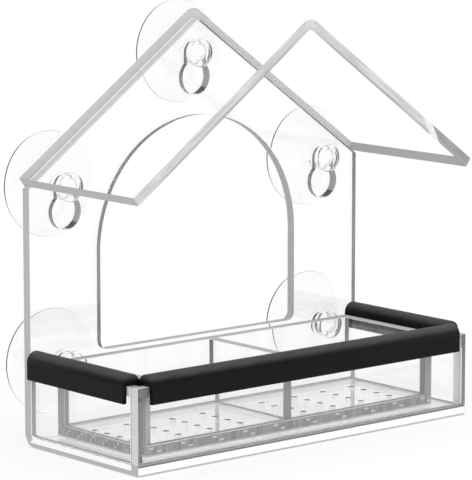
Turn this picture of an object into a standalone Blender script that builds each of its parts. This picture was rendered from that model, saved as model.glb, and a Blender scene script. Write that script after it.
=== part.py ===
"""Window bird feeder.

A clear bent sheet forms the base and the gabled back, with an arched opening.
A second bent sheet is the roof.  Clear panels close the front and both sides
low down, rubber covers on their top edges are the perches, and a divided seed
tray with drain holes stands inside.  Five suction cups hold the back to a
window.  Metres, +Z up, the front looks toward -Y and the window is at +Y.  The
origin is the centre of the underside of the base.
"""
import math

import bmesh
import bpy

# House: overall sizes
feeder_width = 0.254
feeder_depth = 0.105
ridge_height = 0.2495
roof_pitch = math.radians(35.6)
eave_overhang = 0.0024
sheet_thickness = 0.0062
fit_gap = 0.0003
edge_softness = 0.0004

# House: bends and low panels
base_bend_radius = 0.0085
ridge_bend_radius = 0.0095
panel_top_height = 0.0500

# Arched opening in the back
arch_radius = 0.0755
arch_sill_rise = 0.0011
arch_top_below_ridge = 0.0656
arch_corner_radius = 0.0050

# Suction cups and the holes that hold them
cup_radius = 0.0310
cup_depth = 0.0123
cup_collar_radius = 0.0080
cup_collar_thickness = 0.0018
cup_centre_thickness = 0.0036
cup_lip_width = 0.0010
neck_radius = 0.0062
neck_clearance = 0.0004
head_radius = 0.0086
head_thickness = 0.0050
head_edge_radius = 0.0014
head_recess_radius = 0.0052
head_recess_depth = 0.0012
side_cup_inset = 0.0270
top_cup_shift = 0.0024
lower_cup_height = 0.0457
upper_cup_below_roof = 0.0203
top_cup_below_ridge = 0.0281
keyhole_drop = 0.0147
keyhole_clearance = 0.0018

# Seed tray
tray_side_gap = 0.0100
tray_front_gap = 0.0093
tray_back_gap = 0.0083
tray_rise_over_panels = 0.0011
divider_shift = 0.0022
drain_hole_radius = 0.0020
drain_column_pitch = 0.0232
drain_row_pitch = 0.0113
drain_end_margin = 0.0110
drain_row_count = 4
left_drain_shift = 0.0078
drain_row_shift = 0.0035

# Rubber perch covers
cover_wall = 0.0028
cover_crown_rise = 0.0006
cover_outer_leg = 0.0098
cover_inner_leg = 0.0050
cover_leg_rounding = 0.0008
front_cover_inset = 0.0079
side_cover_start = 0.0114

# Segment counts
bend_segments = 10
hole_segments = 40
drain_segments = 12
arch_segments = 64
lathe_segments = 32
dome_segments = 8
crown_segments = 16
small_round_segments = 3

# Cutting and merging
cut_overrun = 0.0060
merge_distance = 0.000002

# Values that follow from the sizes above
half_width = feeder_width / 2
front = -feeder_depth / 2
back = feeder_depth / 2
inner_front = front + sheet_thickness
inner_back = back - sheet_thickness
base_bend_centre = (back - base_bend_radius, base_bend_radius)
inner_bend_radius = base_bend_radius - sheet_thickness
arch_bottom_height = panel_top_height + arch_sill_rise
arch_spring_height = ridge_height - arch_top_below_ridge - arch_radius
side_cup_across = half_width - side_cup_inset
floor_of_house = sheet_thickness + fit_gap
keyhole_radius = head_radius + keyhole_clearance
slot_radius = neck_radius + neck_clearance
tray_right = half_width - sheet_thickness - tray_side_gap
tray_left = -tray_right
tray_front = inner_front + tray_front_gap
tray_back = inner_back - tray_back_gap
tray_floor_top = floor_of_house + sheet_thickness
tray_wall_bottom = tray_floor_top + fit_gap
tray_top_height = panel_top_height + tray_rise_over_panels
divider_centre = -divider_shift


def clear_scene():
    for old in list(bpy.data.objects):
        bpy.data.objects.remove(old, do_unlink=True)


def make_material(name, colour, roughness, transmission):
    material = bpy.data.materials.new(name)
    material.use_nodes = True
    shader = material.node_tree.nodes["Principled BSDF"]
    shader.inputs["Base Color"].default_value = (*colour, 1.0)
    shader.inputs["Roughness"].default_value = roughness
    shader.inputs["Metallic"].default_value = 0.0
    shader.inputs["Transmission Weight"].default_value = transmission
    return material


def add_object(name, mesh_builder, material):
    mesh = bpy.data.meshes.new(name)
    bmesh.ops.recalc_face_normals(mesh_builder, faces=mesh_builder.faces)
    mesh_builder.to_mesh(mesh)
    mesh_builder.free()
    if material:
        mesh.materials.append(material)
    made = bpy.data.objects.new(name, mesh)
    bpy.context.scene.collection.objects.link(made)
    return made


def extrude_outline(mesh_builder, outline, travel):
    """Fill a closed outline of points and sweep it straight along travel."""
    corners = [mesh_builder.verts.new(point) for point in outline]
    face = mesh_builder.faces.new(corners)
    swept = bmesh.ops.extrude_face_region(mesh_builder, geom=[face])
    moved = [item for item in swept["geom"] if isinstance(item, bmesh.types.BMVert)]
    bmesh.ops.translate(mesh_builder, verts=moved, vec=travel)


def prism(name, outline, travel, material):
    mesh_builder = bmesh.new()
    extrude_outline(mesh_builder, outline, travel)
    return add_object(name, mesh_builder, material)


def block(name, low, high, material):
    """Straight-edged slab between two opposite corners."""
    outline = [
        (low[0], low[1], low[2]),
        (high[0], low[1], low[2]),
        (high[0], high[1], low[2]),
        (low[0], high[1], low[2]),
    ]
    return prism(name, outline, (0, 0, high[2] - low[2]), material)


def add_boolean(made, cutter, operation):
    cutter.hide_render = True
    cutter.display_type = "WIRE"
    modifier = made.modifiers.new(cutter.name, "BOOLEAN")
    modifier.operation = operation
    modifier.solver = "EXACT"
    modifier.object = cutter


def soften_edges(made, width):
    modifier = made.modifiers.new("soft edges", "BEVEL")
    modifier.width = width
    modifier.segments = 2
    modifier.limit_method = "ANGLE"
    modifier.angle_limit = math.radians(40)


def shade_round(made):
    for polygon in made.data.polygons:
        polygon.use_smooth = True


def arc(centre, radius, start, end, steps):
    """Points of a flat arc; angles in radians, first axis at zero."""
    points = []
    for step in range(steps + 1):
        angle = start + (end - start) * step / steps
        across = centre[0] + radius * math.cos(angle)
        up = centre[1] + radius * math.sin(angle)
        points.append((across, up))
    return points


def roof_surface(depth_below, reach):
    """Left-to-right line of the roof at a depth below its outer face.

    reach is how far each straight slope runs past the house sides.
    """
    bend_drop = ridge_bend_radius / math.cos(roof_pitch)
    bend_centre = (0, ridge_height - bend_drop)
    radius = ridge_bend_radius - depth_below
    quarter_turn = math.pi / 2
    bend = arc(bend_centre, radius, quarter_turn + roof_pitch, quarter_turn - roof_pitch, bend_segments)
    run = half_width + reach
    end_height = slope_height(depth_below, run)
    return [(-run, end_height)] + bend + [(run, end_height)]


def slope_height(depth_below, across):
    """Height of a straight slope at a distance across from the middle."""
    return ridge_height - depth_below / math.cos(roof_pitch) - across * math.tan(roof_pitch)


def roof_outline():
    """Closed section of the bent roof with square-cut eaves."""
    outer = roof_surface(0, eave_overhang)
    eave_shift = sheet_thickness * math.sin(roof_pitch)
    inner = roof_surface(sheet_thickness, eave_overhang - eave_shift)
    return outer + inner[::-1]


def upright(points, place):
    """Flat across-and-up points as points of an upright plane facing the front."""
    return [(across, place, up) for across, up in points]


def make_roof(material):
    outline = upright(roof_outline(), front)
    roof = prism("roof_sheet", outline, (0, feeder_depth, 0), material)
    soften_edges(roof, edge_softness)
    return roof


def base_and_back_outline():
    """Closed section, front to back and up, of the bent base and back sheet."""
    outer = arc(base_bend_centre, base_bend_radius, -math.pi / 2, 0, bend_segments)
    inner = arc(base_bend_centre, inner_bend_radius, 0, -math.pi / 2, bend_segments)
    top = [(back, ridge_height), (inner_back, ridge_height)]
    return [(front, sheet_thickness), (front, 0)] + outer + top + inner


def gable_shape():
    """Solid that keeps only what lies under the roof."""
    top = roof_surface(sheet_thickness + fit_gap, cut_overrun)
    side = half_width + cut_overrun
    outline = upright(top + [(side, -cut_overrun), (-side, -cut_overrun)], front - cut_overrun)
    return prism("gable_shape", outline, (0, feeder_depth + 2 * cut_overrun, 0), None)


def arch_outline():
    side = arch_radius - arch_corner_radius
    corner_height = arch_bottom_height + arch_corner_radius
    crown = arc((0, arch_spring_height), arch_radius, 0, math.pi, arch_segments)
    left = arc((-side, corner_height), arch_corner_radius, math.pi, 1.5 * math.pi, bend_segments)
    right = arc((side, corner_height), arch_corner_radius, 1.5 * math.pi, 2 * math.pi, bend_segments)
    return crown + left + right


def keyhole_outline(across, height):
    """Round opening below a slot whose round top end holds the cup neck."""
    opening = (across, height - keyhole_drop)
    mouth = math.acos(slot_radius / keyhole_radius)
    slot_end = arc((across, height), slot_radius, 0, math.pi, hole_segments // 2)
    round_part = arc(opening, keyhole_radius, math.pi - mouth, 2 * math.pi + mouth, hole_segments)
    return slot_end + round_part


def round_outline(across, height, radius):
    return arc((across, height), radius, 0, 2 * math.pi, hole_segments)[:-1]


def back_openings():
    """All holes through the back, in one cutting solid."""
    outlines = [arch_outline()]
    for across, height in slotted_cup_places():
        outlines.append(keyhole_outline(across, height))
    for across, height in lower_cup_places():
        outlines.append(round_outline(across, height, slot_radius))
    mesh_builder = bmesh.new()
    travel = (0, sheet_thickness + 2 * cut_overrun, 0)
    for outline in outlines:
        extrude_outline(mesh_builder, upright(outline, inner_back - cut_overrun), travel)
    return add_object("back_openings", mesh_builder, None)


def slotted_cup_places():
    """Top, upper left and upper right cup as (across, height)."""
    side_height = slope_height(sheet_thickness, side_cup_across) - upper_cup_below_roof
    top = (-top_cup_shift, ridge_height - top_cup_below_ridge)
    return [top, (-side_cup_across, side_height), (side_cup_across, side_height)]


def lower_cup_places():
    """Lower left and lower right cup as (across, height)."""
    return [(-side_cup_across, lower_cup_height), (side_cup_across, lower_cup_height)]


def make_base_and_back(material):
    outline = [(-half_width, along, up) for along, up in base_and_back_outline()]
    sheet = prism("base_and_back_sheet", outline, (feeder_width, 0, 0), material)
    add_boolean(sheet, gable_shape(), "INTERSECT")
    add_boolean(sheet, back_openings(), "DIFFERENCE")
    soften_edges(sheet, edge_softness)
    return sheet


def side_panel_outline(across):
    """Side panel section whose lower back corner follows the bend of the sheet."""
    start = inner_front + fit_gap
    end = inner_back - fit_gap
    corner = arc(base_bend_centre, inner_bend_radius - fit_gap, -math.pi / 2, 0, bend_segments)
    section = [(start, floor_of_house)] + corner + [(end, panel_top_height), (start, panel_top_height)]
    return [(across, along, up) for along, up in section]


def make_low_panels(material):
    """Front panel across the whole width; side panels between it and the back."""
    low = (-half_width, front, floor_of_house)
    high = (half_width, inner_front, panel_top_height)
    travel = (sheet_thickness, 0, 0)
    panels = [
        block("front_panel", low, high, material),
        prism("left_side_panel", side_panel_outline(-half_width), travel, material),
        prism("right_side_panel", side_panel_outline(half_width - sheet_thickness), travel, material),
    ]
    for panel in panels:
        soften_edges(panel, edge_softness)


def drain_holes():
    """Rows of drain holes in both halves of the tray, in one cutting solid."""
    middle_row = (tray_front + tray_back) / 2 - drain_row_shift
    bottom = floor_of_house - cut_overrun
    travel = (0, 0, sheet_thickness + 2 * cut_overrun)
    mesh_builder = bmesh.new()
    halves = [(tray_left, divider_centre, left_drain_shift), (divider_centre, tray_right, 0)]
    for left_end, right_end, shift in halves:
        middle_column = (left_end + right_end) / 2 - shift
        spaces = math.floor((right_end - left_end - 2 * drain_end_margin) / drain_column_pitch)
        for column in range(spaces + 1):
            across = middle_column + (column - spaces / 2) * drain_column_pitch
            for row in range(drain_row_count):
                along = middle_row + (row - (drain_row_count - 1) / 2) * drain_row_pitch
                ring = arc((across, along), drain_hole_radius, 0, 2 * math.pi, drain_segments)[:-1]
                outline = [(x, y, bottom) for x, y in ring]
                extrude_outline(mesh_builder, outline, travel)
    return add_object("drain_holes", mesh_builder, None)


def make_tray(material):
    """Floor plate with walls standing on it and a divider near the middle."""
    between_front = tray_front + sheet_thickness + fit_gap
    between_back = tray_back - sheet_thickness - fit_gap
    divider_sides = (divider_centre - sheet_thickness / 2, divider_centre + sheet_thickness / 2)
    floor = block(
        "tray_floor",
        (tray_left, tray_front, floor_of_house),
        (tray_right, tray_back, tray_floor_top),
        material,
    )
    soften_edges(floor, edge_softness)
    add_boolean(floor, drain_holes(), "DIFFERENCE")
    spans = {
        "tray_front_wall": (tray_left, tray_right, tray_front, tray_front + sheet_thickness),
        "tray_back_wall": (tray_left, tray_right, tray_back - sheet_thickness, tray_back),
        "tray_left_wall": (tray_left, tray_left + sheet_thickness, between_front, between_back),
        "tray_right_wall": (tray_right - sheet_thickness, tray_right, between_front, between_back),
        "tray_divider": (*divider_sides, between_front, between_back),
    }
    for name, (left, right, near, far) in spans.items():
        low = (left, near, tray_wall_bottom)
        high = (right, far, tray_top_height)
        wall = block(name, low, high, material)
        soften_edges(wall, edge_softness)


def cover_outline():
    """Section of a perch cover: across (outer side negative) and up from the panel top."""
    inner_half = sheet_thickness / 2 + fit_gap
    outer_half = inner_half + cover_wall
    rounding = cover_leg_rounding
    crown = arc((0, cover_crown_rise), outer_half, math.pi, 0, crown_segments)
    outer_foot = leg_foot(-outer_half, -inner_half, -cover_outer_leg, rounding)
    inner_foot = leg_foot(inner_half, outer_half, -cover_inner_leg, rounding)
    seat = [(-inner_half, fit_gap), (inner_half, fit_gap)]
    return crown + inner_foot[::-1] + seat[::-1] + outer_foot[::-1]


def leg_foot(left, right, bottom, rounding):
    """Rounded end of a leg, listed from its left side to its right side."""
    down = 1.5 * math.pi
    left_centre = (left + rounding, bottom + rounding)
    right_centre = (right - rounding, bottom + rounding)
    left_round = arc(left_centre, rounding, math.pi, down, small_round_segments)
    right_round = arc(right_centre, rounding, down, 2 * math.pi, small_round_segments)
    return left_round + right_round


def make_perch_covers(material):
    half_sheet = sheet_thickness / 2
    section = cover_outline()
    front_start = front_cover_inset - half_width
    side_start = front + side_cover_start
    side_middle = half_width - half_sheet
    front_travel = (-2 * front_start, 0, 0)
    side_travel = (0, inner_back - fit_gap - side_start, 0)
    front_section = [(0, across, up) for across, up in section]
    left_section = [(across, 0, up) for across, up in section]
    right_section = [(-across, 0, up) for across, up in section]
    covers = [
        ("front_perch_cover", front_section, front_travel, (front_start, front + half_sheet)),
        ("left_perch_cover", left_section, side_travel, (-side_middle, side_start)),
        ("right_perch_cover", right_section, side_travel, (side_middle, side_start)),
    ]
    for name, outline, travel, (across, along) in covers:
        cover = prism(name, outline, travel, material)
        cover.location = (across, along, panel_top_height)
        soften_edges(cover, edge_softness)


def cup_outline():
    """Half section of a cup as (radius, distance behind the back sheet), axis to axis."""
    head_back = -(sheet_thickness + fit_gap)
    head_front = head_back - head_thickness
    edge = head_edge_radius
    collar_back = fit_gap + cup_collar_thickness
    recess = head_front + head_recess_depth
    recess_floor_radius = head_recess_radius - head_recess_depth
    outline = [(0, recess), (recess_floor_radius, recess), (head_recess_radius, head_front)]
    front_edge = arc((head_radius - edge, head_front + edge), edge, -math.pi / 2, 0, small_round_segments)
    back_edge = arc((head_radius - edge, head_back - edge), edge, 0, math.pi / 2, small_round_segments)
    outline += front_edge + back_edge
    outline += [(neck_radius, head_back), (neck_radius, fit_gap), (cup_collar_radius, fit_gap)]
    for step in range(dome_segments + 1):
        angle = math.pi / 2 * step / dome_segments
        radius = cup_collar_radius + (cup_radius - cup_collar_radius) * math.sin(angle)
        behind = collar_back + (cup_depth - collar_back) * (1 - math.cos(angle))
        outline.append((radius, behind))
    hollow_radius = cup_radius - cup_lip_width
    hollow_top = collar_back + cup_centre_thickness
    for step in range(dome_segments, -1, -1):
        angle = math.pi / 2 * step / dome_segments
        radius = hollow_radius * math.sin(angle)
        behind = hollow_top + (cup_depth - hollow_top) * (1 - math.cos(angle))
        outline.append((radius, behind))
    return outline


def make_cup(name, across, height, material):
    mesh_builder = bmesh.new()
    corners = [mesh_builder.verts.new((radius, behind, 0)) for radius, behind in cup_outline()]
    edges = [mesh_builder.edges.new(pair) for pair in zip(corners, corners[1:])]
    bmesh.ops.spin(
        mesh_builder,
        geom=corners + edges,
        cent=(0, 0, 0),
        axis=(0, 1, 0),
        steps=lathe_segments,
        angle=2 * math.pi,
        use_merge=True,
    )
    bmesh.ops.remove_doubles(mesh_builder, verts=mesh_builder.verts, dist=merge_distance)
    cup = add_object(name, mesh_builder, material)
    cup.location = (across, back, height)
    shade_round(cup)


def make_cups(material):
    names = ["top_suction_cup", "upper_left_suction_cup", "upper_right_suction_cup"]
    for name, (across, height) in zip(names, slotted_cup_places()):
        make_cup(name, across, height, material)
    names = ["lower_left_suction_cup", "lower_right_suction_cup"]
    for name, (across, height) in zip(names, lower_cup_places()):
        make_cup(name, across, height, material)


def build():
    clear_scene()
    clear_sheet = make_material("clear acrylic sheet", (0.93, 0.95, 0.95), 0.03, 0.9)
    soft_clear = make_material("soft clear vinyl", (0.90, 0.92, 0.92), 0.12, 0.8)
    black_rubber = make_material("black rubber", (0.012, 0.012, 0.013), 0.45, 0.0)
    make_base_and_back(clear_sheet)
    make_roof(clear_sheet)
    make_low_panels(clear_sheet)
    make_tray(clear_sheet)
    make_perch_covers(black_rubber)
    make_cups(soft_clear)


build()
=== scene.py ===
"""Looks of the window bird feeder: clear sheets with matt cut edges, soft clear
cups and black rubber perches, in a plain white studio."""
import math

import bmesh
import bpy
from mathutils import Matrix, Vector


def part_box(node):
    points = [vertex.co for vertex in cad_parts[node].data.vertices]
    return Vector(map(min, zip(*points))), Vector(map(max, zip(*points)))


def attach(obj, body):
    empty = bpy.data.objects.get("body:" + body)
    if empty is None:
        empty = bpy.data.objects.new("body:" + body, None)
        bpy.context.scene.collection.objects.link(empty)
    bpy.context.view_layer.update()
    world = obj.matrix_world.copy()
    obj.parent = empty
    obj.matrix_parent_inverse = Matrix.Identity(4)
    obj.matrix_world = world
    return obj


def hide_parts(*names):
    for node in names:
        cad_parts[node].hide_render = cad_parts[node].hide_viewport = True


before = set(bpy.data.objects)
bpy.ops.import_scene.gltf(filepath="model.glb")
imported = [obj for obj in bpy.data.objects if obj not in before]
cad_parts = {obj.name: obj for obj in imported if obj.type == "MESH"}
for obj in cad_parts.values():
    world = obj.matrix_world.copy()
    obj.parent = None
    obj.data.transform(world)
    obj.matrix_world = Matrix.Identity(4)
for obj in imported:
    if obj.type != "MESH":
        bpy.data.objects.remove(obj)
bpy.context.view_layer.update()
boxes = {node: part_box(node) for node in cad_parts}

# Axes
axis_x = 0
axis_y = 1
axis_z = 2

# Camera
camera_place = Vector((-1.1617, -1.3483, 0.3967))
camera_lens = 229.86
camera_sensor = 36.0
camera_pitch = math.radians(90 - 9.023)
camera_yaw = math.radians(-40.479)
camera_near = 0.01
camera_far = 30.0

# Which faces of a shape are edges, corners or joints
edge_face_limit = 0.7
soft_corner_limit = 0.3
flat_face_limit = 0.9995
eave_tilt_limit = 0.2
sheet_crease = math.radians(20)
cover_crease = math.radians(35)
weld_distance = 0.000002
softness_reach = 0.0006
hole_reach = 0.0110
keyhole_reach = 0.0260
bend_top = 0.0127
gable_start = 0.1450
eave_reach = 0.0055

# Lines on the sheets where one finish ends and the next starts
base_end_line = 0.0028
base_bottom_line = 0.0011
seam_start = 0.0052
post_width = 0.0058
patch_bottom = 0.0447
front_patch_end = -0.1189
side_patch_end = -0.0400

# Clear faces
white = (1.0, 1.0, 1.0)
acrylic_index = 1.49
roof_index = 1.005
acrylic_tint = (0.985, 0.99, 0.99)
acrylic_haze_scale = 40.0
vinyl_index = 1.46
vinyl_tint = (0.97, 0.975, 0.98)
vinyl_haze_scale = 60.0
haze_detail = 2.0

# Darkest and palest grey of each matt finish, from 0 to 255
# Painted light: glued joints show near white, as light passes through them
glued_joint_painted_light_greys = (246, 253)
side_edge_greys = (176, 186)
# Painted light on cut edges that face the light
edge_painted_light_greys = (204, 214)
# Painted shade on a cut edge that faces away from the light
edge_painted_shade_greys = (148, 156)
# A dark seam, partly a glue line and partly painted shade in the gap; also the grey of a patch high up on
# the front panel
seam_and_painted_shade_greys = (112, 126)
# Painted light: the base's front edge shows near white, as light seen through the sheet
base_front_painted_light_greys = (244, 250)
# Bright painted light on cut edges that slant up or face back
edge_bright_painted_light_greys = (208, 220)
front_edge_greys = (192, 216)
front_edge_low_grey = 160
# The roof's front edge: painted shade near the right eave, and a slanting patch of painted light
roof_front_painted_shade_greys = (146, 166)
roof_front_painted_light_greys = (226, 236)
drilled_edge_greys = (160, 196)
hole_wall_greys = (186, 200)
# Painted light and painted shade on the keyhole walls, by which way each wall faces
hole_wall_painted_light_greys = (240, 252)
hole_wall_painted_shade_greys = (70, 104)
lip_greys = (208, 224)
# Painted shade on one side of each cup's lip
lip_painted_shade_greys = (36, 56)
rubber_greys = (8, 14)
# Lighter grey of the painted highlight along the crown of the rubber
painted_highlight_rubber_greys = (66, 76)

# Roughness and gloss of the matt finishes
roughness_spread = 0.1
cut_edge_roughness = 0.5
streaked_edge_roughness = 0.4
hole_wall_roughness = 0.3
lip_roughness = 0.35
rubber_roughness = 0.5
faint_gloss = 0.2
hole_wall_gloss = 0.3
rubber_gloss = 0.12

# Cut edges
saw_mark_scale = 260.0
saw_mark_detail = 3.0
saw_mark_strength = 0.1
saw_mark_depth = 0.0001

# Streaks that both streaked edges share
streak_start = 0.3
streak_end = 0.7

# Front edge of the roof
slope_rise = math.sin(math.radians(35.6))
slope_run = math.cos(math.radians(35.6))
slope_stretch = 0.07
fine_streak_scale = 620.0
fine_streak_detail = 2.0
broad_streak_scale = 190.0
broad_streak_detail = 1.0
broad_streak_start = 0.45
broad_streak_end = 0.6
edge_low_line = 0.1969
edge_middle_line = 0.1990
slant_share = 1.1
slant_origin = 0.22
# Where the painted light and the painted shade start along the slant
painted_light_start = 0.0915
painted_light_end = 0.0925
painted_shade_start = 0.1005
painted_shade_end = 0.1015
ragged_reach = 0.002

# Edges of the tray floor, with the glints of its drain holes
upright_stretch = (1.0, 1.0, 0.05)
upright_streak_scale = 420.0
upright_streak_detail = 3.0
left_half_end = -0.0020
right_half_start = -0.0019
glint_pitch = 0.0232
glint_row_pitch = 0.0113
left_glint_middle = -0.0697
right_glint_middle = 0.0483
glint_shift = 0.12
glint_share = 0.07
glint_half_height = 0.0006
glint_high = 0.0114
glint_low = 0.0092
foot_top = 0.0078
foot_fade = 0.0002
foot_colour = (0.93, 0.93, 0.93)

# Walls of the keyholes, with painted light and painted shade: which way each tone faces, and where it
# starts and ends
hole_wall_scale = 200.0
hole_wall_detail = 2.0
painted_light_wall_way = (0.6, 0.0, 0.8)
painted_light_wall_range = (0.35, 0.75)
painted_shade_wall_way = (0.8, 0.0, -0.6)
painted_shade_wall_range = (0.5, 0.8)
painted_shade_foot_way = (-0.5, 0.0, 0.87)
painted_shade_foot_range = (0.92, 0.97)

# Suction cups
cup_names = ("top", "upper_left", "upper_right", "lower_left", "lower_right")
cup_turn_steps = 96
dome_steps = 20
neck_radius = 0.0062
neck_slack = 0.0003
head_overhang = 0.0024
head_depth = 0.0050
head_rounding = 0.00075
dish_radius = 0.0060
dish_depth = 0.0012
collar_radius = 0.0080
collar_thickness = 0.0018
centre_thickness = 0.0036
lip_width = 0.0010
lip_line = 0.0011
lip_haze_scale = 90.0
# Which way the painted shade on the lip faces, and where it starts and ends
lip_painted_shade_way = (-0.94, 0.0, 0.34)
lip_painted_shade_range = (0.55, 0.95)
rounding_segments = 4
sharp_ring_angle = math.radians(40)

# Rubber
corner_clearance = 0.0002
rubber_grain_scale = 2600.0
rubber_grain_detail = 2.0
rubber_grain_strength = 0.2
rubber_grain_depth = 0.00005
mottle_and_sheen_scale = 90.0
mottle_and_sheen_detail = 3.0
mottle_and_sheen_reach = 0.0008
# Height band of the painted highlight along the crown, its edge made ragged by the mottle
crown_start = 0.0525
crown_end = 0.0565

# Studio
floor_half = 3.0
floor_drop = 0.0003
floor_level = 0.25
floor_glow = 0.76
floor_mottle_scale = 3.0
floor_mottle_detail = 2.0
floor_mottle_share = 0.98
light_low = 0.30
light_even = 0.72
light_lean = 0.62
light_from = Vector((-0.25, -0.68, 0.69)).normalized()
ceiling_start = 0.12
ceiling_end = 0.5
ceiling_level = 0.80
light_bounces = 32
gloss_bounces = 16


class Wire:
    """A shader socket that can be used in sums."""

    def __init__(self, tree, socket):
        self.tree = tree
        self.socket = socket

    def maths(self, operation, *values):
        return self.tree.add("ShaderNodeMath", {"operation": operation}, dict(enumerate(values)))

    def size(self):
        """The value without its sign."""
        return self.maths("ABSOLUTE", self)

    def __add__(self, other):
        return self.maths("ADD", self, other)

    __radd__ = __add__

    def __mul__(self, other):
        return self.maths("MULTIPLY", self, other)

    __rmul__ = __mul__

    def __sub__(self, other):
        return self.maths("SUBTRACT", self, other)

    def __rsub__(self, other):
        return self.maths("SUBTRACT", other, self)


class Tree:
    """A node tree that nodes are added to."""

    def __init__(self, node_tree):
        self.node_tree = node_tree

    def feed(self, socket, value):
        """Join a wire to a socket, or set the socket to a plain value."""
        if isinstance(value, Wire):
            self.node_tree.links.new(value.socket, socket)
        else:
            socket.default_value = value

    def add(self, kind, settings, values, output=0):
        """One more node, as the wire of one of its outputs."""
        node = self.node_tree.nodes.new(kind)
        for name, value in settings.items():
            setattr(node, name, value)
        for socket, value in values.items():
            self.feed(node.inputs[socket], value)
        return Wire(self, node.outputs[output])

    def place(self):
        """Where a point lies on the feeder, in metres."""
        return self.add("ShaderNodeTexCoord", {}, {}, "Object")

    def along(self, axis):
        """Place of a point along one axis, in metres."""
        return self.add("ShaderNodeSeparateXYZ", {}, {0: self.place()}, axis)

    def facing(self, way):
        """How far a surface turns towards a direction, from -1 to 1."""
        normal = self.add("ShaderNodeTexCoord", {}, {}, "Normal")
        return self.reach(normal, way)

    def reach(self, vector, way):
        """How far a vector reaches along a direction."""
        return self.add("ShaderNodeVectorMath", {"operation": "DOT_PRODUCT"}, {0: vector, 1: way}, "Value")

    def noise(self, vector, scale, detail):
        """Soft noise from 0 to 1, read at a vector."""
        values = {"Vector": vector, "Scale": scale, "Detail": detail}
        return self.add("ShaderNodeTexNoise", {}, values, "Fac")

    def clouds(self, scale, detail):
        """Soft noise from 0 to 1 that lies still on the feeder."""
        return self.noise(self.place(), scale, detail)

    def ramp(self, value, start, end, first=0.0, last=1.0):
        """From first to last as the value goes from start to end."""
        values = {"Value": value, "From Min": start, "From Max": end, "To Min": first, "To Max": last}
        return self.add("ShaderNodeMapRange", {"interpolation_type": "SMOOTHSTEP"}, values)

    def blend(self, share, first, second):
        """Mix of two colours, each a wire or four plain values."""
        return self.add("ShaderNodeMix", {"data_type": "RGBA"}, {0: share, 6: first, 7: second}, 2)

    def between(self, share, first, second):
        """Mix of two colours, each of three plain values."""
        return self.blend(share, (*first, 1.0), (*second, 1.0))

    def greys(self, share, levels):
        """Grey between a darkest and a palest level."""
        darkest, palest = levels
        return self.between(share, grey(darkest), grey(palest))

    def bump(self, height, strength, distance):
        """Small relief of a surface."""
        values = {"Strength": strength, "Distance": distance, "Height": height}
        return self.add("ShaderNodeBump", {}, values)


def grey(level):
    """Colour that shows as this level, from 0 to 255, in a picture."""
    share = level / 255
    linear = share / 12.92 if share <= 0.04045 else ((share + 0.055) / 1.055) ** 2.4
    return (linear, linear, linear)


# Finishes


def new_finish(name):
    """A new material, with its tree and its shader."""
    material = bpy.data.materials.new(name)
    material.use_nodes = True
    return material, Tree(material.node_tree), material.node_tree.nodes["Principled BSDF"]


def set_clear(tree, shader, haze_scale, tint, index):
    """Clear surface, with a soft tint that varies a little."""
    haze = tree.clouds(haze_scale, haze_detail)
    tree.feed(shader.inputs["Base Color"], tree.between(haze, tint, white))
    shader.inputs["Roughness"].default_value = 0.0
    shader.inputs["Transmission Weight"].default_value = 1.0
    shader.inputs["IOR"].default_value = index


def set_matt(tree, shader, colour, grain, roughness, gloss):
    """Surface that isn't clear, slightly uneven in its roughness."""
    tree.feed(shader.inputs["Base Color"], colour)
    tree.feed(shader.inputs["Roughness"], roughness + grain * roughness_spread)
    shader.inputs["Specular IOR Level"].default_value = gloss


def clear_acrylic(name, index):
    """Clear face of a cast sheet."""
    material, tree, shader = new_finish(name)
    set_clear(tree, shader, acrylic_haze_scale, acrylic_tint, index)
    return material


def clear_vinyl():
    """Soft clear vinyl of the cups."""
    material, tree, shader = new_finish("soft clear vinyl")
    set_clear(tree, shader, vinyl_haze_scale, vinyl_tint, vinyl_index)
    return material


def cut_edge(name, levels):
    """Edge or joint face of a sheet, which scatters light."""
    material, tree, shader = new_finish(name)
    marks = tree.clouds(saw_mark_scale, saw_mark_detail)
    set_matt(tree, shader, tree.greys(marks, levels), marks, cut_edge_roughness, faint_gloss)
    tree.feed(shader.inputs["Normal"], tree.bump(marks, saw_mark_strength, saw_mark_depth))
    return material


def streaked_front_edge():
    """Front edge of the roof: pale streaks down the slope, then a slanting patch of painted light
    and a stretch of painted shade near the right eave."""
    material, tree, shader = new_finish("streaked front edge")
    across = tree.along(axis_x)
    outward = across.size()
    up = tree.along(axis_z)
    down_slope = outward * slope_run - up * slope_rise
    off_slope = outward * slope_rise + up * slope_run
    stretch = tree.add("ShaderNodeCombineXYZ", {}, {0: down_slope * slope_stretch, 1: off_slope, 2: 0.0})
    streak = tree.noise(stretch, fine_streak_scale, fine_streak_detail)
    streak = tree.ramp(streak, streak_start, streak_end)
    broad = tree.noise(stretch, broad_streak_scale, broad_streak_detail)
    broad = tree.ramp(broad, broad_streak_start, broad_streak_end)
    low_half = 1 - tree.ramp(off_slope, edge_low_line, edge_middle_line)
    pale = tree.greys(streak, front_edge_greys)
    pale = tree.blend(low_half * broad, pale, (*grey(front_edge_low_grey), 1.0))
    bright = tree.greys(streak, roof_front_painted_light_greys)
    dark = tree.greys(streak, roof_front_painted_shade_greys)
    slant = across + off_slope * slant_share - slant_origin
    to_bright = tree.ramp(slant, painted_light_start, painted_light_end)
    to_dark = tree.ramp(slant + streak * ragged_reach, painted_shade_start, painted_shade_end)
    colour = tree.blend(to_dark, tree.blend(to_bright, pale, bright), dark)
    set_matt(tree, shader, colour, streak, streaked_edge_roughness, faint_gloss)
    return material


def glints(place, middle, pitch, height):
    """Short white dashes in pairs, one pair to each row of drain holes."""
    steps = (place - middle) * (1 / pitch)
    steps = steps.maths("FRACT", steps) - 0.5
    pair = []
    for shift, level in ((-glint_shift, glint_high), (glint_shift, glint_low)):
        aside = (steps - shift).size()
        off = (height - level).size()
        near_across = aside.maths("LESS_THAN", aside, glint_share)
        near_up = off.maths("LESS_THAN", off, glint_half_height)
        pair.append(near_across * near_up)
    return pair[0] + pair[1]


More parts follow.
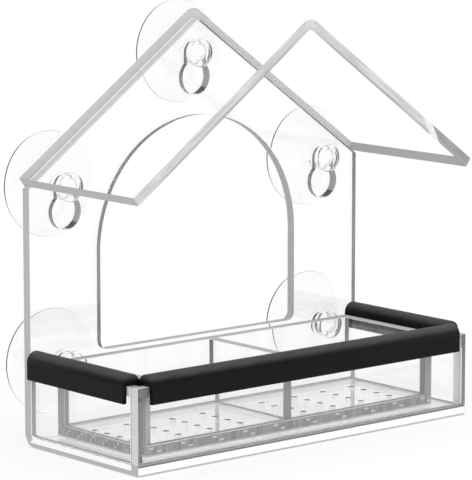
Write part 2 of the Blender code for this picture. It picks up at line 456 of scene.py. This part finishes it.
def drilled_edge():
    """Edge of the tray floor: fine upright streaks and glints of the holes, pale at its foot."""
    material, tree, shader = new_finish("drilled edge")
    stretch = tree.add("ShaderNodeMapping", {}, {"Vector": tree.place(), "Scale": upright_stretch})
    streak = tree.noise(stretch, upright_streak_scale, upright_streak_detail)
    streak = tree.ramp(streak, streak_start, streak_end)
    across = tree.along(axis_x)
    height = tree.along(axis_z)
    on_right = tree.ramp(across, left_half_end, right_half_start)
    middle = on_right * (right_glint_middle - left_glint_middle) + left_glint_middle
    on_side = tree.facing((1.0, 0.0, 0.0)).size()
    on_side = on_side.maths("GREATER_THAN", on_side, edge_face_limit)
    front_glints = glints(across, middle, glint_pitch, height) * (1 - on_side)
    side_glints = glints(tree.along(axis_y), 0.0, glint_row_pitch, height) * on_side
    grain = tree.greys(streak, drilled_edge_greys)
    colour = tree.blend(front_glints + side_glints, grain, (*white, 1.0))
    foot = 1 - tree.ramp(height, foot_top - foot_fade, foot_top)
    colour = tree.blend(foot, colour, (*foot_colour, 1.0))
    set_matt(tree, shader, colour, streak, streaked_edge_roughness, faint_gloss)
    return material


def keyhole_wall():
    """Polished wall of a hole, with painted shade above left, painted light below left and grey on the
    right, by facing.
    """
    material, tree, shader = new_finish("keyhole wall")
    streak = tree.clouds(hole_wall_scale, hole_wall_detail)
    dark = tree.greys(streak, hole_wall_painted_shade_greys)
    to_white = tree.ramp(tree.facing(painted_light_wall_way), *painted_light_wall_range)
    to_dark = tree.ramp(tree.facing(painted_shade_wall_way), *painted_shade_wall_range)
    to_dark_foot = tree.ramp(tree.facing(painted_shade_foot_way), *painted_shade_foot_range)
    colour = tree.greys(streak, hole_wall_greys)
    colour = tree.blend(to_white, colour, tree.greys(streak, hole_wall_painted_light_greys))
    colour = tree.blend(to_dark, colour, dark)
    colour = tree.blend(to_dark_foot, colour, dark)
    set_matt(tree, shader, colour, streak, hole_wall_roughness, hole_wall_gloss)
    return material


def vinyl_lip():
    """Thin lip of a cup, with painted shade on one side and pale on the rest, by which way it faces."""
    material, tree, shader = new_finish("vinyl lip")
    haze = tree.clouds(lip_haze_scale, haze_detail)
    shade = tree.ramp(tree.facing(lip_painted_shade_way), *lip_painted_shade_range)
    colour = tree.blend(shade, tree.greys(haze, lip_greys), tree.greys(haze, lip_painted_shade_greys))
    set_matt(tree, shader, colour, haze, lip_roughness, faint_gloss)
    return material


def black_rubber():
    """Matt black rubber of the perch covers, with a painted highlight in lighter grey along the crown."""
    material, tree, shader = new_finish("black rubber")
    grain = tree.clouds(rubber_grain_scale, rubber_grain_detail)
    mottle_and_sheen = tree.clouds(mottle_and_sheen_scale, mottle_and_sheen_detail)
    crown = tree.ramp(tree.along(axis_z) + mottle_and_sheen * mottle_and_sheen_reach, crown_start, crown_end)
    colour = tree.blend(crown, tree.greys(mottle_and_sheen, rubber_greys), tree.greys(mottle_and_sheen, painted_highlight_rubber_greys))
    set_matt(tree, shader, colour, mottle_and_sheen, rubber_roughness, rubber_gloss)
    tree.feed(shader.inputs["Normal"], tree.bump(grain, rubber_grain_strength, rubber_grain_depth))
    return material


# Pieces


def copied_shape(node):
    """Shape of a CAD piece, with its corners joined."""
    shape = bmesh.new()
    shape.from_mesh(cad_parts[node].data)
    bmesh.ops.remove_doubles(shape, verts=shape.verts, dist=weld_distance)
    shape.normal_update()
    return shape


def add_piece(name, shape):
    """A new object in the scene, made from a shape."""
    mesh = bpy.data.meshes.new(name)
    shape.to_mesh(mesh)
    shape.free()
    piece = bpy.data.objects.new(name, mesh)
    bpy.context.scene.collection.objects.link(piece)
    return piece


def crease_edges(shape, crease):
    """Keep the edges crisp that turn by more than an angle."""
    for edge in shape.edges:
        if len(edge.link_faces) == 2:
            edge.smooth = edge.calc_face_angle(0.0) < crease


def shade(shape, crease):
    """Faces that lie square to the feeder shade flat, all others smooth."""
    for face in shape.faces:
        face.smooth = max(abs(value) for value in face.normal) <= flat_face_limit
    crease_edges(shape, crease)


# Sheets


def cut_across(shape, axis, place):
    """New edges all round a shape where an upright or level plane meets it."""
    point = Vector()
    point[axis] = place
    way = Vector()
    way[axis] = 1.0
    everything = shape.verts[:] + shape.edges[:] + shape.faces[:]
    bmesh.ops.bisect_plane(shape, geom=everything, dist=weld_distance, plane_co=point, plane_no=way)


def finished_sheet(node, body, slot, finishes, choose, cuts=()):
    """A sheet whose faces take the finish that choose names; cuts are (axis, place) pairs."""
    shape = copied_shape(node)
    for axis, place in cuts:
        cut_across(shape, axis, place)
    names = list(finishes)
    for face in shape.faces:
        face.material_index = names.index(choose(face.normal, face.calc_center_median()))
    shade(shape, sheet_crease)
    piece = add_piece(node + "_finished", shape)
    for finish in finishes.values():
        piece.data.materials.append(finish)
    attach(piece, body)
    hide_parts(node)


def is_by_a_cup(middle):
    """True for a point of the back sheet in the hole that holds a cup."""
    for cup in cup_names:
        low, high = boxes[cup + "_suction_cup"]
        across = abs(middle.x - (low.x + high.x) / 2)
        below = (low.z + high.z) / 2 - middle.z
        if across < hole_reach and -hole_reach < below < keyhole_reach:
            return True
    return False


def glued_or_clear(is_glued):
    """Faces that meet a neighbour are glued joints, painted near white as painted light through the joint;
    the rest are clear.
    """
    return "glued" if is_glued else "clear"


def finish_of_bent_base(normal, middle):
    """Ends, arch and gable are cut edges, with painted light on faces that turn right and bright painted
    light on gable faces that slant up. Between the front panel and the back, the base's ends are painted
    near white above a line. The base's front is painted near white as light seen through the sheet, with
    a cut strip below that is partly painted contact shade, and a dark seam above."""
    low, high = boxes["base_and_back_sheet"]
    back_start = boxes["left_side_panel"][1].y
    if abs(normal.x) > edge_face_limit and abs(middle.x) > high.x - softness_reach:
        # Above the line the ends are painted near white, as light seen through the sheet
        over_line = base_end_line < middle.z < boxes["front_panel"][0].z
        if over_line and boxes["front_panel"][1].y < middle.y < back_start:
            return "glued"
        return "side edge" if normal.x < 0 else "pale edge"
    in_back = middle.y > back_start and middle.z > bend_top
    if in_back and abs(normal.y) < edge_face_limit:
        if is_by_a_cup(middle):
            return "keyhole wall"
        slants_up = normal.z > soft_corner_limit and abs(normal.x) > soft_corner_limit
        if slants_up and middle.z > gable_start:
            return "bright edge"
        return "pale edge" if normal.x > edge_face_limit else "side edge"
    if middle.y < low.y + softness_reach and normal.y < -soft_corner_limit:
        # The strip at the foot of the base's front is partly painted contact shade
        if middle.z < base_bottom_line:
            return "side edge"
        # The dark seam is partly a glue line and partly painted shade in the gap
        return "seam" if middle.z > seam_start else "polished edge"
    return "clear"


def finish_of_roof(normal, middle):
    """Front, back and eave ends of the roof are cut edges; the back ends are in bright painted light."""
    high = boxes["roof_sheet"][1]
    if normal.y < -edge_face_limit:
        return "front edge"
    if normal.y > edge_face_limit:
        return "bright edge"
    outward = normal.x * math.copysign(1, middle.x)
    at_eave = abs(middle.x) > high.x - eave_reach
    is_eave_end = at_eave and outward > soft_corner_limit and normal.z < eave_tilt_limit
    return "side edge" if is_eave_end else "clear"


def finish_of_front_panel(normal, middle):
    """Ends and top are cut edges in painted light, the bottom is glued down, and the left end of the
    front has a matt patch high up in the seam grey."""
    low = boxes["front_panel"][0]
    if abs(normal.x) > edge_face_limit or normal.z > edge_face_limit:
        return "pale edge"
    at_bottom = middle.z < low.z + softness_reach
    if normal.y < -soft_corner_limit and at_bottom:
        return "seam"
    on_front = normal.y < -flat_face_limit
    # A darker patch high up, in the seam grey
    if on_front and middle.x < front_patch_end and middle.z > patch_bottom:
        return "seam"
    return glued_or_clear(at_bottom)


def finish_of_plain_side(normal, middle):
    """The top is a cut edge, and the ends and bottom are glued to their neighbours."""
    return "side edge" if normal.z > edge_face_limit else glued_or_clear(abs(normal.x) < flat_face_limit)


def finish_of_left_panel(normal, middle):
    """A plain side with painted shade on its front end, and a paler patch high up near it in the
    painted-light edge grey.
    """
    if normal.y < -edge_face_limit:
        return "shaded edge"
    on_outside = normal.x < -flat_face_limit
    if on_outside and middle.y < side_patch_end and middle.z > patch_bottom:
        return "pale edge"
    return finish_of_plain_side(normal, middle)


def finish_of_tray_floor(normal, middle):
    """The four edges, with the drain holes' glints in them, are cut; the holes stay clear."""
    low, high = boxes["tray_floor"]
    past_x = min(middle.x - low.x, high.x - middle.x) < softness_reach
    past_y = min(middle.y - low.y, high.y - middle.y) < softness_reach
    return "drilled edge" if (past_x or past_y) and abs(normal.z) < edge_face_limit else "clear"


def finish_of_tray_front(normal, middle):
    """Ends, top and a post at the right end of the front are cut edges."""
    high = boxes["tray_front_wall"][1]
    on_post = normal.y < -soft_corner_limit and middle.x > high.x - post_width
    if abs(normal.x) > edge_face_limit or normal.z > edge_face_limit or on_post:
        return "side edge"
    return glued_or_clear(abs(normal.y) < flat_face_limit)


def finish_of_tray_back(normal, middle):
    """Ends and top are cut edges, with painted light on the right end."""
    if normal.x > edge_face_limit:
        return "pale edge"
    if -normal.x > edge_face_limit or normal.z > edge_face_limit:
        return "side edge"
    return glued_or_clear(abs(normal.y) < flat_face_limit)


def finish_of_divider(normal, middle):
    """Ends and top are cut edges, with painted light on the back end."""
    if normal.y > edge_face_limit:
        return "pale edge"
    if -normal.y > edge_face_limit or normal.z > edge_face_limit:
        return "side edge"
    return glued_or_clear(abs(normal.x) < flat_face_limit)


def add_sheets():
    """All the clear sheets of the house and the tray."""
    # The cut edge greys are lit and shaded copies of one grey: the side edge is the plain tone, and the
    # others carry painted light or painted shade.
    finishes = {
        "clear": clear_acrylic("clear acrylic face", acrylic_index),
        "glued": cut_edge("glued joint in painted light", glued_joint_painted_light_greys),
        "side edge": cut_edge("cut side edge", side_edge_greys),
        "pale edge": cut_edge("cut pale edge", edge_painted_light_greys),
        "shaded edge": cut_edge("cut shaded edge", edge_painted_shade_greys),
        "seam": cut_edge("dark seam and patch, partly painted shade", seam_and_painted_shade_greys),
        "polished edge": cut_edge("base front edge in painted light", base_front_painted_light_greys),
        "bright edge": cut_edge("cut bright edge", edge_bright_painted_light_greys),
        "front edge": streaked_front_edge(),
        "keyhole wall": keyhole_wall(),
        "drilled edge": drilled_edge(),
    }
    roof_finishes = {**finishes, "clear": clear_acrylic("clear roof face", roof_index)}
    house = ("house", "clear_acrylic", finishes)
    tray = ("seed_tray", "tray_acrylic", finishes)
    base_lines = (base_end_line, base_bottom_line, seam_start)
    base_cuts = [(axis_z, line) for line in base_lines] + [(axis_y, boxes["front_panel"][1].y)]
    front_cuts = [(axis_x, front_patch_end), (axis_z, patch_bottom)]
    left_cuts = [(axis_y, side_patch_end), (axis_z, patch_bottom)]
    post_cut = [(axis_x, boxes["tray_front_wall"][1].x - post_width)]
    finished_sheet("base_and_back_sheet", *house, finish_of_bent_base, base_cuts)
    finished_sheet("roof_sheet", "house", "clear_acrylic", roof_finishes, finish_of_roof)
    finished_sheet("front_panel", *house, finish_of_front_panel, front_cuts)
    finished_sheet("left_side_panel", *house, finish_of_left_panel, left_cuts)
    finished_sheet("right_side_panel", *house, finish_of_plain_side)
    finished_sheet("tray_floor", *tray, finish_of_tray_floor)
    finished_sheet("tray_front_wall", *tray, finish_of_tray_front, post_cut)
    finished_sheet("tray_back_wall", *tray, finish_of_tray_back)
    finished_sheet("tray_left_wall", *tray, finish_of_plain_side)
    finished_sheet("tray_right_wall", *tray, finish_of_plain_side)
    finished_sheet("tray_divider", *tray, finish_of_divider)


# Rubber


def reach_corner(shape):
    """Press the soft front end of a side cover up to the front cover."""
    front_end = min(corner.co.y for corner in shape.verts)
    ends = [corner for corner in shape.verts if corner.co.y < front_end + softness_reach]
    gap = front_end - boxes["front_perch_cover"][1].y
    bmesh.ops.translate(shape, verts=ends, vec=(0, corner_clearance - gap, 0))


def add_rubber():
    """The three perch covers."""
    rubber = black_rubber()
    for cover in ("front_perch_cover", "left_perch_cover", "right_perch_cover"):
        shape = copied_shape(cover)
        if cover != "front_perch_cover":
            reach_corner(shape)
        shade(shape, cover_crease)
        piece = add_piece(cover + "_finished", shape)
        piece.data.materials.append(rubber)
        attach(piece, "house")
        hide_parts(cover)


# Suction cups


def dome_line(inner_radius, rim_radius, start, rim):
    """Quarter oval from (inner_radius, start) out to (rim_radius, rim)."""
    points = []
    for step in range(dome_steps + 1):
        angle = math.pi / 2 * step / dome_steps
        radius = inner_radius + (rim_radius - inner_radius) * math.sin(angle)
        points.append((radius, start + (rim - start) * (1 - math.cos(angle))))
    return points


def cup_half_section(head_front, sheet_back, rim_radius, rim):
    """Half section of a cup as (radius, along) points, from axis to axis."""
    head_radius = neck_radius + head_overhang
    head_back = head_front + head_depth
    collar_front = sheet_back + neck_slack
    collar_back = collar_front + collar_thickness
    section = [
        (0, head_front + dish_depth),
        (dish_radius - dish_depth, head_front + dish_depth),
        (dish_radius, head_front),
        (head_radius, head_front),
        (head_radius, head_back),
        (neck_radius, head_back),
        (neck_radius, collar_front),
        (collar_radius, collar_front),
    ]
    outside = dome_line(collar_radius, rim_radius, collar_back, rim)
    inside = dome_line(0, rim_radius - lip_width, collar_back + centre_thickness, rim)
    return section + outside + inside[::-1]


def sharp_rings(shape, sheet_back):
    """Rings in front of the sheet's back where the section turns sharply."""
    rings = []
    for edge in shape.edges:
        around = abs(edge.verts[0].co.y - edge.verts[1].co.y) < weld_distance
        in_front = edge.verts[0].co.y < sheet_back
        if around and in_front and edge.calc_face_angle(0.0) > sharp_ring_angle:
            rings.append(edge)
    return rings


def turned_cup(low, high, sheet_back, rim_radius):
    """Shape of a cup, turned from its half section about the y axis of the frame."""
    shape = bmesh.new()
    section = cup_half_section(low.y, sheet_back, rim_radius, high.y)
    corners = [shape.verts.new((radius, along, 0)) for radius, along in section]
    lines = [shape.edges.new(pair) for pair in zip(corners, corners[1:])]
    bmesh.ops.spin(
        shape,
        geom=corners + lines,
        cent=(0, 0, 0),
        axis=(0, 1, 0),
        steps=cup_turn_steps,
        angle=2 * math.pi,
        use_merge=True,
    )
    bmesh.ops.remove_doubles(shape, verts=shape.verts, dist=weld_distance)
    bmesh.ops.recalc_face_normals(shape, faces=shape.faces)
    bmesh.ops.bevel(
        shape,
        geom=sharp_rings(shape, sheet_back),
        offset=head_rounding,
        offset_type="OFFSET",
        affect="EDGES",
        segments=rounding_segments,
        profile=0.5,
        material=-1,
        clamp_overlap=True,
    )
    return shape


def add_cup(cup, finishes):
    """One cup, with its lip in a finish of its own."""
    node = cup + "_suction_cup"
    low, high = boxes[node]
    centre = (low + high) / 2
    rim_radius = (high.z - low.z) / 2
    shape = turned_cup(low, high, boxes["base_and_back_sheet"][1].y, rim_radius)
    for face in shape.faces:
        middle = face.calc_center_median()
        off_axis = math.hypot(middle.x, middle.z)
        on_lip = off_axis > rim_radius - lip_width / 2 and middle.y > high.y - lip_line
        face.material_index = int(on_lip)
        face.smooth = True
    crease_edges(shape, cover_crease)
    bmesh.ops.translate(shape, verts=shape.verts, vec=(centre.x, 0, centre.z))
    piece = add_piece(node + "_finished", shape)
    for finish in finishes:
        piece.data.materials.append(finish)
    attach(piece, cup + "_cup")
    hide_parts(node)


def add_cups():
    """The five suction cups."""
    finishes = [clear_vinyl(), vinyl_lip()]
    for cup in cup_names:
        add_cup(cup, finishes)


# Studio


def set_camera():
    """Camera at the place and turn that match the photograph."""
    data = bpy.data.cameras.new("camera")
    data.sensor_width = camera_sensor
    data.lens = camera_lens
    data.clip_start = camera_near
    data.clip_end = camera_far
    camera = bpy.data.objects.new("camera", data)
    camera.location = camera_place
    camera.rotation_euler = (camera_pitch, 0.0, camera_yaw)
    bpy.context.scene.collection.objects.link(camera)
    bpy.context.scene.camera = camera


def set_world():
    """Soft light from the front, the left and above. The camera sees white; glass and
    gloss see white that dims overhead."""
    world = bpy.data.worlds.new("studio")
    world.use_nodes = True
    bpy.context.scene.world = world
    tree = Tree(world.node_tree)
    background = world.node_tree.nodes["Background"]
    way = tree.add("ShaderNodeTexCoord", {}, {}, "Generated")
    lit = tree.reach(way, light_from) * light_lean + light_even
    lit = lit.maths("MAXIMUM", lit, light_low)
    height = tree.add("ShaderNodeSeparateXYZ", {}, {0: way}, axis_z)
    ceiling = tree.ramp(height, ceiling_start, ceiling_end, 1.0, ceiling_level)
    eye = tree.add("ShaderNodeLightPath", {}, {}, "Is Camera Ray")
    gloss = tree.add("ShaderNodeLightPath", {}, {}, "Is Glossy Ray")
    through = tree.add("ShaderNodeLightPath", {}, {}, "Is Transmission Ray")
    bounced = tree.add("ShaderNodeLightPath", {}, {}, "Diffuse Depth")
    fresh = 1 - bounced.maths("MINIMUM", bounced, 1.0)
    seen = gloss.maths("MAXIMUM", gloss, through) * fresh
    level = lit * (1 - seen) + ceiling * seen
    tree.feed(background.inputs["Strength"], level * (1 - eye) + eye)
    background.inputs["Color"].default_value = (*white, 1.0)


def add_floor():
    """Plain pale floor that keeps a faint shadow of the feeder."""
    shape = bmesh.new()
    bmesh.ops.create_grid(shape, x_segments=1, y_segments=1, size=floor_half)
    bmesh.ops.translate(shape, verts=shape.verts, vec=(0, 0, -floor_drop))
    floor = add_piece("floor", shape)
    material, tree, shader = new_finish("pale floor")
    mottle = tree.clouds(floor_mottle_scale, floor_mottle_detail)
    low_colour = (floor_level * floor_mottle_share,) * 3
    high_colour = (floor_level,) * 3
    tree.feed(shader.inputs["Base Color"], tree.between(mottle, low_colour, high_colour))
    shader.inputs["Roughness"].default_value = 1.0
    shader.inputs["Specular IOR Level"].default_value = 0.0
    shader.inputs["Emission Color"].default_value = (*white, 1.0)
    shader.inputs["Emission Strength"].default_value = floor_glow
    floor.data.materials.append(material)


set_camera()
set_world()
add_floor()
add_sheets()
add_rubber()
add_cups()
bpy.context.scene.view_settings.view_transform = "Standard"
bpy.context.scene.cycles.max_bounces = light_bounces
bpy.context.scene.cycles.transmission_bounces = light_bounces
bpy.context.scene.cycles.glossy_bounces = gloss_bounces
